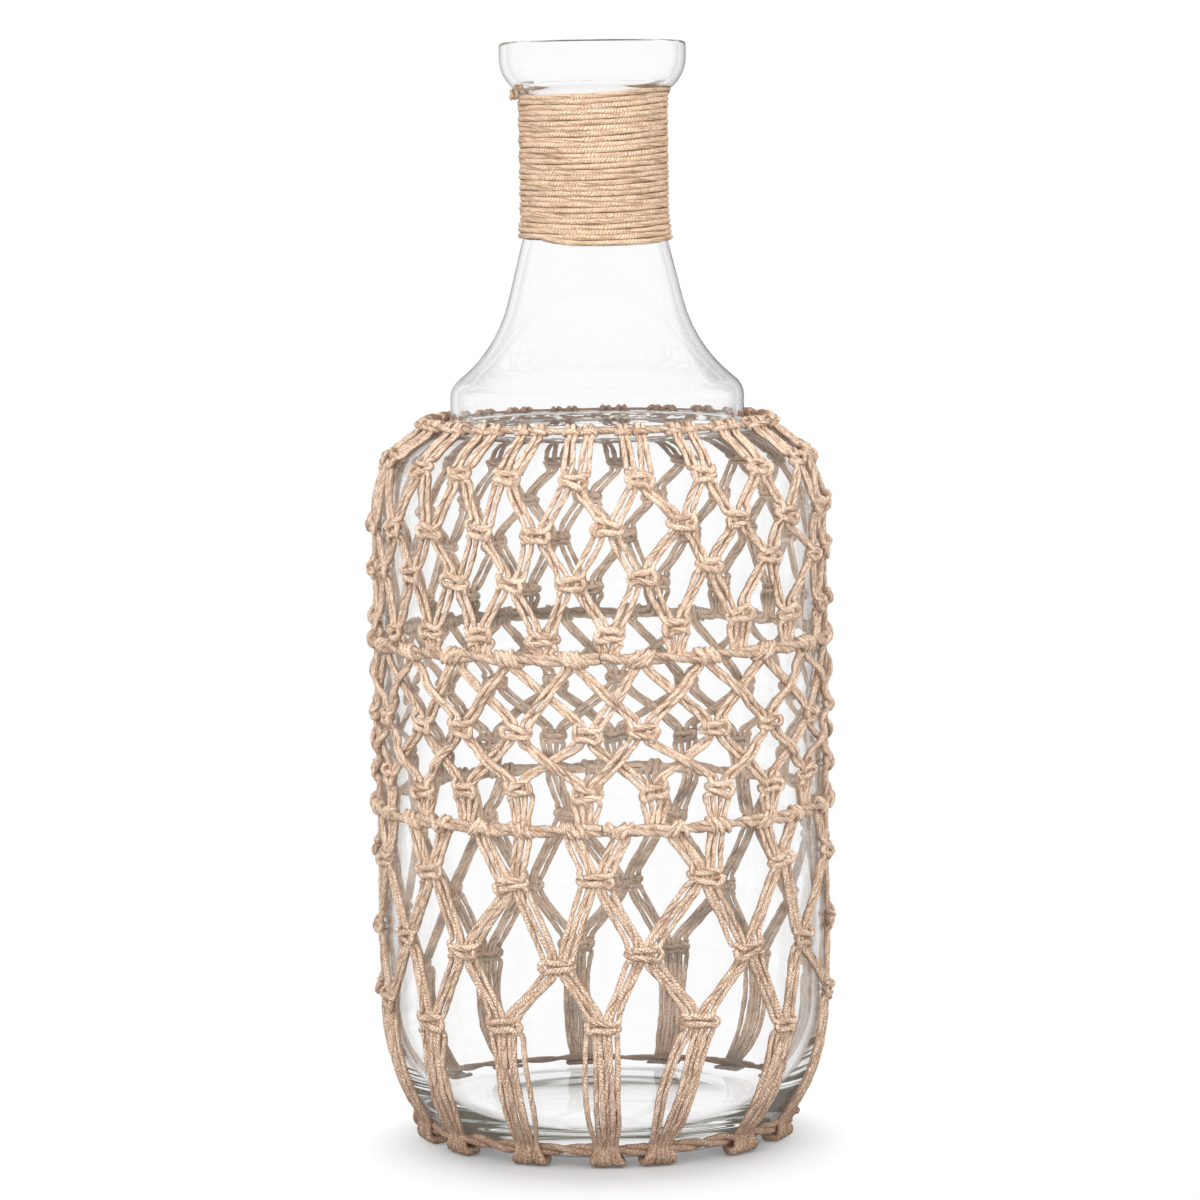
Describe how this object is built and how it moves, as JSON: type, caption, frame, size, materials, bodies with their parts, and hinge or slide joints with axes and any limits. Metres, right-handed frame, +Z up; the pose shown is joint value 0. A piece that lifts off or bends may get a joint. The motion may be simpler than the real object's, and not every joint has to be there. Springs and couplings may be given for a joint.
{
  "type": "glass bottle vase in a knotted jute net",
  "caption": "Tall clear glass bottle vase with a flared mouth, a twine-wrapped neck and a knotted jute net round its body.",
  "frame": {"origin": "centre of the foot on the surface that the bottle stands on", "axes": "+Z up along the bottle's axis, towards the mouth; the front in the picture looks along -Y"},
  "size_m": [0.1966, 0.1966, 0.45],
  "materials": {
    "clear_glass": "polished",
    "jute_net": "rough",
    "neck_twine": "rough"
  },
  "bodies": {
    "root": {"glass_bottle": "clear_glass", "neck_wrap": "neck_twine", "shoulder_ring": "jute_net", "upper_band": "jute_net", "lower_band": "jute_net", "base_ring": "jute_net", "net_cord_01": "jute_net", "net_cord_02": "jute_net", "net_cord_03": "jute_net", "net_cord_04": "jute_net", "net_cord_05": "jute_net", "net_cord_06": "jute_net", "net_cord_07": "jute_net", "net_cord_08": "jute_net", "net_cord_09": "jute_net", "net_cord_10": "jute_net", "net_cord_11": "jute_net", "net_cord_12": "jute_net", "net_cord_13": "jute_net", "net_cord_14": "jute_net", "net_cord_15": "jute_net", "net_cord_16": "jute_net", "net_cord_17": "jute_net", "net_cord_18": "jute_net", "net_cord_19": "jute_net", "net_cord_20": "jute_net", "net_cord_21": "jute_net", "net_cord_22": "jute_net", "net_cord_23": "jute_net", "net_cord_24": "jute_net", "net_cord_25": "jute_net", "net_cord_26": "jute_net", "net_cord_27": "jute_net", "net_cord_28": "jute_net", "net_cord_29": "jute_net", "net_cord_30": "jute_net", "net_cord_31": "jute_net", "net_cord_32": "jute_net", "net_cord_33": "jute_net", "net_cord_34": "jute_net", "net_cord_35": "jute_net", "net_cord_36": "jute_net", "net_cord_37": "jute_net", "net_cord_38": "jute_net", "net_cord_39": "jute_net", "net_cord_40": "jute_net", "net_cord_41": "jute_net", "net_cord_42": "jute_net"}
  },
  "joints": []
}
